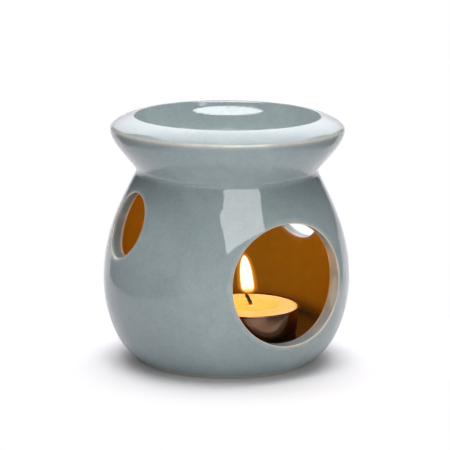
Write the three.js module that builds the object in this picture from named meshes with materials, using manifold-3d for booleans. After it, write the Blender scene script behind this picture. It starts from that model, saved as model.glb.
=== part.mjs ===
// Ceramic wax warmer with a tealight, in millimetres, +Z up.
// The foot stands on z = 0, the pot's axis is the Z axis and the front opening faces -Y.
// Pot and dish are two castings joined at the neck; the tealight lifts out through the front.

import * as THREE from "three";
import { mergeVertices } from "three/addons/utils/BufferGeometryUtils.js";
import Module from "manifold-3d";

const wasm = await Module();
wasm.setup();

// Pot: outer line from the foot over the belly to the neck
const FOOT_RADIUS = 34.4;
const FOOT_RISE = 9.0;
const BELLY_RADIUS = 48.5;
const BELLY_HEIGHT = 32.5;
const BELLY_EASE_BELOW = 3.0;
const BELLY_EASE_ABOVE = 19.8;
const SHOULDER_SPREAD = 4.2;
const SHOULDER_DROP = 8.4;
const NECK_RADIUS = 35.3;
const NECK_HEIGHT = 74.5;

// Pot: wall, floor and foot
const WALL_AT_BELLY = 5.6;
const WALL_AT_NECK = 3.6;
const FLOOR_THICKNESS = 5;
const FOOT_RECESS_DEPTH = 7.75;
const FOOT_RING_WIDTH = 4.2;
const FOOT_RING_TAPER = 1.5;
const FLOOR_FILLET = 2.5;

// Dish: heights count up from the joint at the neck
const RIM_RADIUS = 45.7;
const RIM_HEIGHT = 17.6;
const FLARE_SPREAD = 1.8;
const FLARE_RISE = 4.6;
const RIM_EASE_BELOW = 4.1;
const RIM_EASE_ABOVE = 2.3;
const LIP_WIDTH = 9.2;
const LIP_SLOPE = 12;
const LIP_EASE = 5.8;
const BOWL_EDGE_HEIGHT = 22.4;
const BOWL_EDGE_ROUND = 0.8;
const BOWL_WALL_RUN = 4.6;
const BOWL_WALL_DROP = 8.4;
const BOWL_DEPTH = 14.4;
const BOWL_FLOOR_RADIUS = 22.6;
const BOWL_FLOOR_EASE = 6;
const DISH_BASE_THICKNESS = 5.6;
const NECK_CLEARANCE = 0.5;

// Tealight: pressed cup, wax, wick and the sustainer that holds the wick
const CUP_BASE_RADIUS = 18.7;
const CUP_RIM_RADIUS = 19.9;
const CUP_HEIGHT = 11.4;
const CUP_WALL = 0.4;
const CUP_CORNER = 1.8;
const CUP_RIM_BEAD = 0.7;
const WAX_BELOW_RIM = 0.7;
const MELT_POOL_RADIUS = 11;
const MELT_POOL_SLOPE = 1.6;
const MELT_POOL_DEPTH = 0.6;
const WICK_RADIUS = 0.8;
const WICK_ABOVE_WAX = 4.9;
const WICK_LEAN = 2.4;
const WICK_BEND_HEIGHT = 2;
const WICK_BEND_REACH = 0.7;
const WICK_LEAN_AZIMUTH = 146;
const WICK_OFFSET = 4;
const WICK_OFFSET_AZIMUTH = 43;
const SUSTAINER_RADIUS = 7.5;
const SUSTAINER_THICKNESS = 0.4;
const SUSTAINER_NECK_RADIUS = 1.7;
const SUSTAINER_NECK_HEIGHT = 4.5;
const FIT_GAP = 0.2;

// Openings: the front one lets the tealight through, the vents feed the flame
const CUP_PASSING_ROOM = 4.6;
const FRONT_HALF_HEIGHT = 23.3;
const SILL_RISE = 1.45;
const SILL_GAP = 5.1;
const VENT_RADIUS = 12.2;
const LEFT_VENT_AZIMUTH = -98;
const LEFT_VENT_DROP = 18;
const RIGHT_VENT_AZIMUTH = 102.5;
const RIGHT_VENT_DROP = 20.5;
const CUT_OVERRUN = 10;

// Fineness of the round shapes
const CERAMIC_SIDES = 48;
const CUP_SIDES = 32;
const WICK_SIDES = 8;
const WALL_STEPS = 9;
const LIP_STEPS = 8;
const CORNER_STEPS = 3;
const CUT_STEPS = 24;
const WICK_STEPS = 10;
const JOINING_DISTANCE = 0.0001;

// Sizes that follow from those above
const FLOOR_HEIGHT = FOOT_RECESS_DEPTH + FLOOR_THICKNESS;
const FRONT_HALF_WIDTH = CUP_RIM_RADIUS + CUP_PASSING_ROOM;
const FRONT_HEIGHT = FLOOR_HEIGHT + SILL_RISE + FRONT_HALF_HEIGHT;
const LIP_FALL = Math.tan(THREE.MathUtils.degToRad(LIP_SLOPE));
const BOWL_EDGE_RADIUS = RIM_RADIUS - LIP_WIDTH;
const BOWL_FLOOR_HEIGHT = BOWL_EDGE_HEIGHT - BOWL_DEPTH;
const WAX_TOP = CUP_HEIGHT - WAX_BELOW_RIM;
const POOL_FLOOR = WAX_TOP - MELT_POOL_DEPTH;

const at = (radius, height) => new THREE.Vector2(radius, height);

// A place at a reach from the axis, turned from +X towards +Y
function around(reach, azimuth) {
  const turn = THREE.MathUtils.degToRad(azimuth);
  return new THREE.Vector3(reach * Math.cos(turn), reach * Math.sin(turn), 0);
}

const wickPlace = around(WICK_OFFSET, WICK_OFFSET_AZIMUTH);

// Finishes
const GLAZE = { color: 0x8f9c9e, roughness: 0.14, metalness: 0 };
const ALUMINIUM = { color: 0xb9b6b2, roughness: 0.38, metalness: 1 };
const WAX = { color: 0xf3e7c8, roughness: 0.5, metalness: 0 };
const WICK = { color: 0x2a211b, roughness: 0.95, metalness: 0 };
const TINPLATE = { color: 0xa9a9a6, roughness: 0.4, metalness: 1 };

// Keeps only positions, joins shared corners and drops the slivers on the axis
function closedGeometry(source) {
  const bare = source.clone();
  bare.deleteAttribute("normal");
  bare.deleteAttribute("uv");
  const merged = mergeVertices(bare, JOINING_DISTANCE);
  const kept = [];
  const index = merged.index.array;
  for (let i = 0; i < index.length; i += 3) {
    const [a, b, c] = index.slice(i, i + 3);
    if (a !== b && b !== c && c !== a) {
      kept.push(a, b, c);
    }
  }
  merged.setIndex(kept);
  return merged;
}

function toSolid(geometry) {
  const vertProperties = new Float32Array(geometry.attributes.position.array);
  const triVerts = new Uint32Array(geometry.index.array);
  return new wasm.Manifold(new wasm.Mesh({ numProp: 3, vertProperties, triVerts }));
}

function toGeometry(solid) {
  const mesh = solid.getMesh();
  const geometry = new THREE.BufferGeometry();
  geometry.setAttribute("position", new THREE.BufferAttribute(mesh.vertProperties, 3));
  geometry.setIndex(new THREE.BufferAttribute(mesh.triVerts, 1));
  return geometry;
}

// Turns an outline of radius and height about the Z axis
function revolve(outline, sides) {
  const lathe = new THREE.LatheGeometry(outline, sides);
  lathe.rotateX(Math.PI / 2);
  return closedGeometry(lathe);
}

function part(name, geometry, finish) {
  const mesh = new THREE.Mesh(geometry, new THREE.MeshStandardMaterial(finish));
  geometry.computeVertexNormals();
  mesh.name = name;
  return mesh;
}

// The pot's outer line in two stretches, below and above the belly
const belowBelly = new THREE.CubicBezierCurve(
  at(FOOT_RADIUS, 0),
  at(BELLY_RADIUS, FOOT_RISE),
  at(BELLY_RADIUS, BELLY_HEIGHT - BELLY_EASE_BELOW),
  at(BELLY_RADIUS, BELLY_HEIGHT),
);
const aboveBelly = new THREE.CubicBezierCurve(
  at(BELLY_RADIUS, BELLY_HEIGHT),
  at(BELLY_RADIUS, BELLY_HEIGHT + BELLY_EASE_ABOVE),
  at(NECK_RADIUS + SHOULDER_SPREAD, NECK_HEIGHT - SHOULDER_DROP),
  at(NECK_RADIUS, NECK_HEIGHT),
);

// The wall is full below the belly and thins evenly from there to the neck
function wallAt(height) {
  const share = (height - BELLY_HEIGHT) / (NECK_HEIGHT - BELLY_HEIGHT);
  return THREE.MathUtils.lerp(WALL_AT_BELLY, WALL_AT_NECK, Math.max(share, 0));
}

// Points of the chamber's wall, from the floor up, square inwards from the outer line
function chamberWall() {
  const points = [];
  for (const curve of [belowBelly, aboveBelly]) {
    for (let step = 0; step < WALL_STEPS; step += 1) {
      const share = step / WALL_STEPS;
      const outer = curve.getPoint(share);
      const tangent = curve.getTangent(share);
      const inward = at(-tangent.y, tangent.x);
      points.push(outer.clone().addScaledVector(inward, wallAt(outer.y)));
    }
  }
  return points;
}

const chamber = chamberWall();
const neckInner = NECK_RADIUS - WALL_AT_NECK;

// Radius of the chamber at one height, between the two points of its wall next to it
function chamberRadius(height) {
  const next = Math.max(chamber.findIndex((point) => point.y > height), 1);
  const [low, high] = [chamber[next - 1], chamber[next]];
  return THREE.MathUtils.mapLinear(height, low.y, high.y, low.x, high.x);
}

const floorRadius = chamberRadius(FLOOR_HEIGHT + FLOOR_FILLET);

function potOutline() {
  const footInner = FOOT_RADIUS - FOOT_RING_WIDTH;
  const outline = [
    at(0, FOOT_RECESS_DEPTH),
    at(footInner - FOOT_RING_TAPER, FOOT_RECESS_DEPTH),
    at(footInner, 0),
    ...belowBelly.getPoints(WALL_STEPS),
    ...aboveBelly.getPoints(WALL_STEPS).slice(1),
    at(neckInner, NECK_HEIGHT),
  ];
  const wallPoints = chamber.filter((point) => point.y > FLOOR_HEIGHT + FLOOR_FILLET);
  outline.push(...wallPoints.reverse());
  outline.push(at(floorRadius, FLOOR_HEIGHT + FLOOR_FILLET));
  outline.push(at(floorRadius - FLOOR_FILLET, FLOOR_HEIGHT));
  outline.push(at(0, FLOOR_HEIGHT));
  return outline;
}

// A bar of round section that runs from the axis out through the wall, at a turn from the front
function openingBar(halfWidth, halfHeight, height, azimuth) {
  const section = new THREE.Shape();
  section.absellipse(0, 0, halfWidth, halfHeight, 0, Math.PI * 2);
  const bar = new THREE.ExtrudeGeometry(section, {
    depth: BELLY_RADIUS + CUT_OVERRUN,
    bevelEnabled: false,
    curveSegments: CUT_STEPS,
  });
  bar.rotateX(Math.PI / 2);
  bar.rotateZ(THREE.MathUtils.degToRad(azimuth));
  bar.translate(0, 0, height);
  return toSolid(closedGeometry(bar));
}

function makePot() {
  const front = openingBar(FRONT_HALF_WIDTH, FRONT_HALF_HEIGHT, FRONT_HEIGHT, 0);
  const leftHeight = NECK_HEIGHT - LEFT_VENT_DROP;
  const left = openingBar(VENT_RADIUS, VENT_RADIUS, leftHeight, LEFT_VENT_AZIMUTH);
  const rightHeight = NECK_HEIGHT - RIGHT_VENT_DROP;
  const right = openingBar(VENT_RADIUS, VENT_RADIUS, rightHeight, RIGHT_VENT_AZIMUTH);
  const blank = toSolid(revolve(potOutline(), CERAMIC_SIDES));
  return part("pot", toGeometry(blank.subtract(front).subtract(left).subtract(right)), GLAZE);
}

// Height of the lip a short way out from the bowl's edge, where it still falls evenly
function lipHeight(radius) {
  return BOWL_EDGE_HEIGHT - (radius - BOWL_EDGE_RADIUS) * LIP_FALL;
}

function makeDish() {
  const seatInner = neckInner - NECK_CLEARANCE;
  const outline = new THREE.Path();
  outline.moveTo(0, BOWL_FLOOR_HEIGHT - DISH_BASE_THICKNESS);
  outline.lineTo(seatInner, BOWL_FLOOR_HEIGHT - DISH_BASE_THICKNESS);
  outline.lineTo(seatInner, 0);
  outline.lineTo(NECK_RADIUS, 0);
  outline.bezierCurveTo(
    NECK_RADIUS + FLARE_SPREAD, FLARE_RISE,
    RIM_RADIUS, RIM_HEIGHT - RIM_EASE_BELOW,
    RIM_RADIUS, RIM_HEIGHT,
  );
  outline.bezierCurveTo(
    RIM_RADIUS, RIM_HEIGHT + RIM_EASE_ABOVE,
    BOWL_EDGE_RADIUS + LIP_EASE, lipHeight(BOWL_EDGE_RADIUS + LIP_EASE),
    BOWL_EDGE_RADIUS + BOWL_EDGE_ROUND, lipHeight(BOWL_EDGE_RADIUS + BOWL_EDGE_ROUND),
  );
  const wallTop = at(-BOWL_WALL_RUN, -BOWL_WALL_DROP).setLength(BOWL_EDGE_ROUND);
  outline.quadraticCurveTo(
    BOWL_EDGE_RADIUS, BOWL_EDGE_HEIGHT,
    BOWL_EDGE_RADIUS + wallTop.x, BOWL_EDGE_HEIGHT + wallTop.y,
  );
  outline.bezierCurveTo(
    BOWL_EDGE_RADIUS - BOWL_WALL_RUN, BOWL_EDGE_HEIGHT - BOWL_WALL_DROP,
    BOWL_FLOOR_RADIUS + BOWL_FLOOR_EASE, BOWL_FLOOR_HEIGHT,
    BOWL_FLOOR_RADIUS, BOWL_FLOOR_HEIGHT,
  );
  outline.lineTo(0, BOWL_FLOOR_HEIGHT);
  const dish = part("wax_dish", revolve(outline.getPoints(LIP_STEPS), CERAMIC_SIDES), GLAZE);
  dish.position.z = NECK_HEIGHT;
  return dish;
}

// Radius of the cup's inner wall at a height above its base
function cupInnerRadius(height) {
  const top = CUP_RIM_RADIUS - CUP_RIM_BEAD;
  const share = height / (CUP_HEIGHT - CUP_RIM_BEAD);
  return THREE.MathUtils.lerp(CUP_BASE_RADIUS, top, share) - CUP_WALL;
}

function makeCup() {
  const wallTop = CUP_HEIGHT - CUP_RIM_BEAD;
  const wallTopRadius = CUP_RIM_RADIUS - CUP_RIM_BEAD;
  const innerCorner = CUP_CORNER - CUP_WALL;
  const outline = new THREE.Path();
  outline.moveTo(0, 0);
  outline.lineTo(CUP_BASE_RADIUS - CUP_CORNER, 0);
  outline.quadraticCurveTo(CUP_BASE_RADIUS, 0, CUP_BASE_RADIUS, CUP_CORNER);
  outline.lineTo(wallTopRadius, wallTop);
  outline.quadraticCurveTo(CUP_RIM_RADIUS, wallTop, CUP_RIM_RADIUS, CUP_HEIGHT - CUP_RIM_BEAD / 2);
  outline.quadraticCurveTo(CUP_RIM_RADIUS, CUP_HEIGHT, wallTopRadius, CUP_HEIGHT);
  outline.lineTo(cupInnerRadius(wallTop), wallTop);
  outline.lineTo(cupInnerRadius(CUP_CORNER), CUP_CORNER);
  const floorEdge = cupInnerRadius(CUP_CORNER) - innerCorner;
  outline.quadraticCurveTo(cupInnerRadius(CUP_CORNER), CUP_WALL, floorEdge, CUP_WALL);
  outline.lineTo(0, CUP_WALL);
  return part("tealight_cup", revolve(outline.getPoints(CORNER_STEPS), CUP_SIDES), ALUMINIUM);
}

// Hollow that the sustainer, the wick and the melt pool take out of the wax
function wickHollow() {
  const discRoom = SUSTAINER_RADIUS + FIT_GAP;
  const discTop = CUP_WALL + SUSTAINER_THICKNESS + FIT_GAP;
  const neckRoom = SUSTAINER_NECK_RADIUS + FIT_GAP;
  const neckTop = CUP_WALL + SUSTAINER_NECK_HEIGHT + FIT_GAP;
  const wickRoom = WICK_RADIUS + FIT_GAP;
  return [
    at(0, 0),
    at(discRoom, 0),
    at(discRoom, discTop),
    at(neckRoom, discTop),
    at(neckRoom, neckTop),
    at(wickRoom, neckTop),
    at(wickRoom, POOL_FLOOR),
    at(MELT_POOL_RADIUS - MELT_POOL_SLOPE, POOL_FLOOR),
    at(MELT_POOL_RADIUS, WAX_TOP),
    at(MELT_POOL_RADIUS, CUP_HEIGHT),
    at(0, CUP_HEIGHT),
  ];
}

// The wax fills the cup around the sustainer and the wick
function makeWax() {
  const outline = [
    at(0, CUP_WALL),
    at(cupInnerRadius(CUP_CORNER) - CUP_CORNER, CUP_WALL),
    at(cupInnerRadius(CUP_CORNER) - FIT_GAP, CUP_CORNER + FIT_GAP),
    at(cupInnerRadius(WAX_TOP) - FIT_GAP, WAX_TOP),
    at(0, WAX_TOP),
  ];
  const hollow = revolve(wickHollow(), CUP_SIDES).translate(...wickPlace.toArray());
  const block = toSolid(revolve(outline, CUP_SIDES));
  return part("tealight_wax", toGeometry(block.subtract(toSolid(hollow))), WAX);
}

function makeSustainer() {
  const bore = WICK_RADIUS + FIT_GAP;
  const discTop = CUP_WALL + SUSTAINER_THICKNESS;
  const neckTop = CUP_WALL + SUSTAINER_NECK_HEIGHT;
  const outline = [
    at(bore, CUP_WALL),
    at(SUSTAINER_RADIUS, CUP_WALL),
    at(SUSTAINER_RADIUS, discTop),
    at(SUSTAINER_NECK_RADIUS, discTop),
    at(SUSTAINER_NECK_RADIUS, neckTop),
    at(bore, neckTop),
    at(bore, CUP_WALL),
  ];
  return part("wick_sustainer", revolve(outline, CUP_SIDES), TINPLATE);
}

// The wick stands straight in the wax and leans over above it
function makeWick() {
  const leanTo = (reach, height) => around(reach, WICK_LEAN_AZIMUTH).setZ(height);
  const route = new THREE.CatmullRomCurve3([
    leanTo(0, CUP_WALL),
    leanTo(0, SUSTAINER_NECK_HEIGHT),
    leanTo(0, POOL_FLOOR),
    leanTo(WICK_BEND_REACH, POOL_FLOOR + WICK_BEND_HEIGHT),
    leanTo(WICK_LEAN, POOL_FLOOR + WICK_ABOVE_WAX),
  ]);
  const section = new THREE.Shape();
  section.absarc(0, 0, WICK_RADIUS, 0, Math.PI * 2);
  const tube = new THREE.ExtrudeGeometry(section, {
    extrudePath: route,
    steps: WICK_STEPS,
    curveSegments: WICK_SIDES,
  });
  return part("tealight_wick", closedGeometry(tube), WICK);
}

const wickStand = new THREE.Group();
wickStand.position.copy(wickPlace);
wickStand.add(makeSustainer(), makeWick());

const tealight = new THREE.Group();
tealight.position.set(0, CUP_BASE_RADIUS + SILL_GAP - floorRadius, FLOOR_HEIGHT);
tealight.add(makeCup(), makeWax(), wickStand);

const warmer = new THREE.Group();
warmer.add(makePot(), makeDish(), tealight);

export default warmer;
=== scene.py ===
# Glazed ceramic wax warmer with a lit tealight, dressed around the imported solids
# Shapes are worked out in millimetres in the solids' own frame and become metres in the meshes

import math

import bpy
import numpy as np
from mathutils import Matrix, Vector
from mathutils.geometry import delaunay_2d_cdt


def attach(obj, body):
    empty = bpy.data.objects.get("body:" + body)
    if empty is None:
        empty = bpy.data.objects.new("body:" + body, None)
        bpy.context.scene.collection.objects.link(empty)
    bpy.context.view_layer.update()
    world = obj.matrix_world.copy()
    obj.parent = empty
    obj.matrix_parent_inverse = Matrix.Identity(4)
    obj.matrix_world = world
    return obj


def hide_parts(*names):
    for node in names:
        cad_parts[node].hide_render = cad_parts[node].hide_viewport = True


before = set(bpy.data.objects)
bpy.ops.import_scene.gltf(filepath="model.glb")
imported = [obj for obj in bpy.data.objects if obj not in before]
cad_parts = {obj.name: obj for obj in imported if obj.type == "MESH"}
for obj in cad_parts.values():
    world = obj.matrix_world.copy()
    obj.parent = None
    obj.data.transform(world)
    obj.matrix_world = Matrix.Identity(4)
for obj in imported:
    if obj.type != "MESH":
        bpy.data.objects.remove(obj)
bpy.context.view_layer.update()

MM = 0.001
SEED = 7
FULL_TURN = 2 * np.pi
UP = Vector((0.0, 0.0, 1.0))
random = np.random.default_rng(SEED)

# Pot
FOOT_RADIUS = 34.4
FOOT_RISE = 9.0
FOOT_RING_WIDTH = 4.2
FOOT_RING_TAPER = 1.5
FOOT_RING_ROUND = 0.6
FOOT_RECESS_DEPTH = 7.75
FOOT_RECESS_ROUND = 2.0
FOOT_EDGE = 0.8
BELLY_RADIUS = 48.5
BELLY_HEIGHT = 32.5
BELLY_EASE_BELOW = 3.0
BELLY_EASE_ABOVE = 19.8
SHOULDER_SPREAD = 4.0
SHOULDER_DROP = 8.6
NECK_RADIUS = 35.2
NECK_HEIGHT = 75.4
NECK_FILLET = 1.8
WALL_AT_BELLY = 5.6
WALL_AT_NECK = 3.6
FLOOR_HEIGHT = 12.75
FLOOR_FILLET = 2.5
FLOOR_FILLET_LEAN = 0.7

# Dish
RIM_RADIUS = 45.69
RIM_HEIGHT = 91.8
FLARE_SPREAD = 3.1
FLARE_RISE = 4.9
RIM_EASE_BELOW = 5.4
RIM_EASE_ABOVE = 1.6
LIP_FALL = math.tan(math.radians(12.0))
LIP_EASE = 5.0
BOWL_EDGE_RADIUS = 36.5
BOWL_EDGE_HEIGHT = 96.84
BOWL_EDGE_ROUND = 0.5
BOWL_WALL_RUN = 4.3
BOWL_WALL_DROP = 8.2
BOWL_FLOOR_RADIUS = 21.6
BOWL_FLOOR_HEIGHT = 82.5
BOWL_FLOOR_EASE = 6.0
DISH_CEILING = 76.9
DISH_SEAT_RADIUS = 31.1
DISH_SEAT_ROUND = 1.2

# Openings: half width, half height, height of the middle, turn from the front, points round, burr, painted
# shade on the cut face
OPENINGS = {
    "front": (24.5, 23.3, 37.5, 0.0, 156, 0.0, 0.0),
    "left": (12.2, 12.2, 56.5, -98.0, 96, 0.12, 0.4),
    "right": (12.2, 12.2, 54.0, 102.5, 96, 0.3, 0.4),
}
EDGE_OUT = 1.0
EDGE_IN = 0.8
EDGE_FACE_SHARE = 0.8
WOBBLE = 0.09
WOBBLE_WAVES = 4
BURR_RUN = 5

# Where the glaze is thin or bare, and where painted shade, painted flame light and a painted highlight go,
# by height, by distance or by row of an opening's edge
FOOT_BARE = (0.55, 0.25)
FOOT_BREAK = 0.6
FOOT_BREAK_HEIGHT = 0.8
FOOT_BREAK_WIDTH = 0.5
RIM_BREAK = 0.55
RIM_BREAK_PAST = 0.5
RIM_BREAK_WIDTH = 0.8
FACE_BREAK = 0.2
FACE_BREAK_WIDTH = 0.5
OUTER_EDGE_BREAK = [0.1, 0.3, 0.6, 0.75, 0.4, 0.12, 0.0]
# Painted highlight along the openings' inner edges, where the flame's light catches them
INNER_EDGE_PAINTED_HIGHLIGHT = [0.35, 0.6, 0.7, 0.75, 0.75, 0.5, 0.2]
# Row of an opening's edge from which the painted flame light begins
PAINTED_FLAMELIGHT_ROW = 10
# Rows of an opening's edge that are darkened with painted shade
PAINTED_SHADE_ROW_SPAN = slice(7, 13)
# Painted shade in the chamber, from none at the first height to full at the second
PAINTED_SHADE_HEIGHTS = (17.5, 13.0)

# Tealight
TEALIGHT_PLACE = (0.0, -15.89, 12.75)
CUP_BASE_RADIUS = 18.7
CUP_RIM_RADIUS = 19.9
CUP_HEIGHT = 11.4
CUP_SKIN = 0.16
CUP_CORNER = 1.8
CUP_BEAD = 0.7
CUP_BEAD_ASIDE = 0.28
CUP_BEAD_ARC = (-150.0, 180.0)
CUP_BEAD_STEPS = 23
CUP_DENTS_FROM = (1.5, 4.5)
CUP_DENTS_FADE = 2.0
CUP_BROAD_DENTS = (0.035, 9, 1.1)
CUP_SMALL_DENTS = (0.03, 23, 0.4)
CUP_DENTS_SLANT = 0.15
WAX_TOP = 10.7
WAX_RADIUS = 18.78
WAX_SIDE_TOP = 11.0
WAX_BASE = 0.5
WAX_BASE_RADIUS = 18.28
WAX_CORNER = 1.3
WAX_INNER_RADIUS = 17.6
WAX_OUTER_START = 17.75
POOL_RADIUS = 11.0
POOL_DEPTH = 0.6
POOL_BANK_SHIFT = 0.7
POOL_BANK_WIDTH = 0.8
POOL_EDGE_WIDTH = 0.5
POOL_EDGE_WAVES = ((0.25, 5, 0.8), (0.2, 3, 0.0))
WAX_CREEP = 0.35
WAX_CREEP_RADIUS = 18.8
WAX_CREEP_WIDTH = 0.55
WICK_MOUND = 0.45
WICK_MOUND_WIDTH = 1.3
WAX_UNEVEN_ACROSS = (0.035, 2.1, 0.6)
WAX_UNEVEN_ALONG = (1.0, 1.7, 0.0)
WICK_PLACE = (2.925, 2.728)
WICK_RISE = 4.9
WICK_DEPTH = 1.2
WICK_LEAN = 2.4
WICK_LEAN_TURN = math.radians(146.0)
WICK_STRAIGHT_SHARE = 0.45
WICK_TIP_SHARE = 0.45
WICK_TIP_SLOPE = 3.0
WICK_END_SHARE = 0.02
WICK_END_SLOPE = 14
WICK_STRANDS = 3
WICK_TWISTS = 1.6
STRAND_OFFSET = 0.36
STRAND_RADIUS = 0.43
STRAND_FUZZ = 0.1
STRAND_FUZZ_WAVES = 17

# Flame
FLAME_FOOT = np.array([1.95, -12.55, 27.8])
FLAME_TOP = np.array([0.55, -11.6, 42.8])
FLAME_WIDTH = 4.9
FLAME_POINT = 3.5
FLAME_FULLNESS = 0.65
FLAME_ROOT = 0.04
FLAME_TIP_RADIUS = 0.01
VEIL = 0.55
HALO = 1.5

# Fineness: columns round, steps along curves, and spacing and turn in degrees along turned lines
POT_COLUMNS = 200
DISH_COLUMNS = 176
CUP_COLUMNS = 128
CURVE_STEPS = 60
CORNER_STEPS = 10
NECK_STEPS = 24
LIP_STEPS = 40
EDGE_STEPS = 6
FACE_STEPS = 5
WAX_INNER_RINGS = 45
WAX_OUTER_RINGS = 9
WICK_STEPS = 44
WICK_SIDES = 10
FLAME_STEPS = 48
FLAME_SIDES = 32
OUTER_SPACING = 1.5
INNER_SPACING = 1.6
FOOT_FINENESS = (2.0, 9.0)
FLOOR_FINENESS = (2.2, 9.0)
UNDER_DISH_FINENESS = (2.4, 15.0)
DISH_FINENESS = (1.3, 5.0)
CUP_FINENESS = (1.2, 12.0)
WAX_FINENESS = (1.6, 15.0)

# Limits of the mesh work
WALL_FROM = 8.0
WALL_ABOVE_FLOOR = 0.15
WALL_MARGIN_BEFORE = 4.0
ROW_GAP = 0.3
LOOP_MARGIN = 6.0
LOOP_CLEARANCE = 0.6
WELD = 0.002
SAME_POINT = 1e-5
CLOSE = 1e-3
CUT_PRECISION = 1e-6
TINY = 1e-9


def bezier(start, ease, reach, end, steps=CURVE_STEPS):
    share = np.linspace(0.0, 1.0, steps + 1)[:, None]
    rest = 1.0 - share
    start, ease, reach, end = (np.array(point, float) for point in (start, ease, reach, end))
    return start * rest**3 + 3 * ease * rest**2 * share + 3 * reach * rest * share**2 + end * share**3


def corner(start, middle, end, steps=CORNER_STEPS):
    """A rounded corner between two points, or between two rows of points."""
    start, middle, end = (np.array(point, float) for point in (start, middle, end))
    share = np.linspace(0.0, 1.0, steps + 1).reshape(-1, *[1] * start.ndim)
    rest = 1.0 - share
    return start * rest**2 + 2 * middle * rest * share + end * share**2


def rounded(points, cuts):
    """A line of straight stretches with each inner corner rounded over its own cut length."""
    points = [np.array(point, float) for point in points]
    line = [points[0][None]]
    for before, here, after, cut in zip(points, points[1:], points[2:], cuts):
        back = (before - here) / np.linalg.norm(before - here)
        on = (after - here) / np.linalg.norm(after - here)
        line.append(corner(here + back * cut, here, here + on * cut))
    line.append(points[-1][None])
    return np.concatenate(line)


def ramp(value, start, end):
    """The share of the way from start to end, held between 0 and 1."""
    return np.clip((value - start) / (end - start), 0.0, 1.0)


def hump(value, middle, width):
    """A smooth rise to 1 at the middle."""
    return np.exp(-(((value - middle) / width) ** 2))


def step_down(value, width):
    """A soft step from 1 to 0 as the value passes zero."""
    return 0.5 - 0.5 * np.tanh(value / width)


def wave(value, size, rate, start):
    """A sine wave with its size, its rate and its start."""
    return size * np.sin(rate * value + start)


class Line:
    """A profile of radius and height that is followed by its length, with the solid on its left."""

    def __init__(self, points):
        points = np.asarray(points, float)
        steps = np.linalg.norm(np.diff(points, axis=0), axis=1)
        points = points[np.concatenate([[True], steps > SAME_POINT])]
        steps = np.linalg.norm(np.diff(points, axis=0), axis=1)
        self.points = points
        self.reach = np.concatenate([[0.0], np.cumsum(steps)])
        along = np.gradient(points, self.reach, axis=0)
        self.along = along / np.linalg.norm(along, axis=1)[:, None]

    def at(self, reach):
        return [np.interp(reach, self.reach, self.points[:, axis]) for axis in (0, 1)]

    def outward(self, reach):
        along = [np.interp(reach, self.reach, self.along[:, axis]) for axis in (0, 1)]
        size = np.hypot(*along)
        return along[1] / size, -along[0] / size

    def reaches(self, spacing, turn):
        """Places along the line, closer together where it bends."""
        heading = np.unwrap(np.arctan2(self.along[:, 1], self.along[:, 0]))
        bend = np.concatenate([[0.0], np.cumsum(np.abs(np.diff(heading)))])
        measure = self.reach / spacing + bend / math.radians(turn)
        count = max(int(math.ceil(measure[-1])), 2)
        return np.interp(np.linspace(0.0, measure[-1], count + 1), measure, self.reach)

    def split(self, height):
        """The reach at which the line first passes a height."""
        level = self.points[:, 1]
        index = np.nonzero((level[:-1] - height) * (level[1:] - height) <= 0)[0][0]
        share = (height - level[index]) / (level[index + 1] - level[index])
        return self.reach[index] + share * (self.reach[index + 1] - self.reach[index])


def place(turn, radius, height):
    return np.stack([radius * np.sin(turn), -radius * np.cos(turn), height + 0 * turn], -1)


def ring_points(line, reach, turn):
    radius, height = line.at(reach)
    out, up = line.outward(reach)
    return place(turn, radius, height), place(turn, out, up)


def around(columns):
    return np.linspace(-np.pi, np.pi, columns + 1)


class Shell:
    """Collects patches of one piece and joins them into a mesh with its own normals."""

    def __init__(self):
        self.points = []
        self.normals = []
        self.faces = []
        self.marks = []
        self.count = 0

    def add(self, points, normals, faces, **marks):
        points = np.asarray(points, float).reshape(-1, 3)
        self.points.append(points)
        self.normals.append(np.asarray(normals, float).reshape(-1, 3))
        self.faces.extend([[vertex + self.count for vertex in face] for face in faces])
        self.marks.append(marks)
        self.count += len(points)

    def grid(self, points, normals, **marks):
        rows, columns = points.shape[:2]
        index = np.arange(rows * columns).reshape(rows, columns)
        faces = np.stack([index[:-1, :-1], index[:-1, 1:], index[1:, 1:], index[1:, :-1]], -1)
        marks = {name: np.broadcast_to(mark, (rows, columns)) for name, mark in marks.items()}
        self.add(points, normals, faces.reshape(-1, 4).tolist(), **marks)

    def turned(self, line, reaches, columns, **marks):
        """A line turned round the axis, with each mark given once or for every reach."""
        reaches = reaches[:, None]
        points, normals = ring_points(line, reaches, around(columns)[None] + 0 * reaches)
        marks = {name: np.reshape(mark, (-1, 1)) for name, mark in marks.items()}
        self.grid(points, normals, **marks)

    def shift(self, way):
        self.points = [points + np.array(way) for points in self.points]

    def build(self, name, body, slot, paint, *nodes):
        points = np.concatenate(self.points)
        normals = np.concatenate(self.normals)
        key = np.round(points / WELD).astype(np.int64)
        _, first, same = np.unique(key, axis=0, return_index=True, return_inverse=True)
        same = same.reshape(-1)
        points = points[first]
        normals = normals[first]
        faces = []
        for face in self.faces:
            kept = list(dict.fromkeys(same[face].tolist()))
            if len(kept) > 2:
                faces.append(facing(kept, points, normals))
        mesh = bpy.data.meshes.new(name)
        mesh.from_pydata((points * MM).tolist(), [], faces)
        mesh.polygons.foreach_set("use_smooth", [True] * len(faces))
        for mark in sorted(set().union(*self.marks)):
            values = [
                np.broadcast_to(np.asarray(marks.get(mark, 0.0), float).reshape(-1), len(patch))
                for marks, patch in zip(self.marks, self.points)
            ]
            values = np.concatenate(values)[first].astype(np.float32)
            mesh.attributes.new(mark, "FLOAT", "POINT").data.foreach_set("value", values)
        size = np.maximum(np.linalg.norm(normals, axis=1), TINY)
        mesh.normals_split_custom_set_from_vertices((normals / size[:, None]).tolist())
        return piece(name, mesh, body, slot, paint, *nodes)


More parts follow.
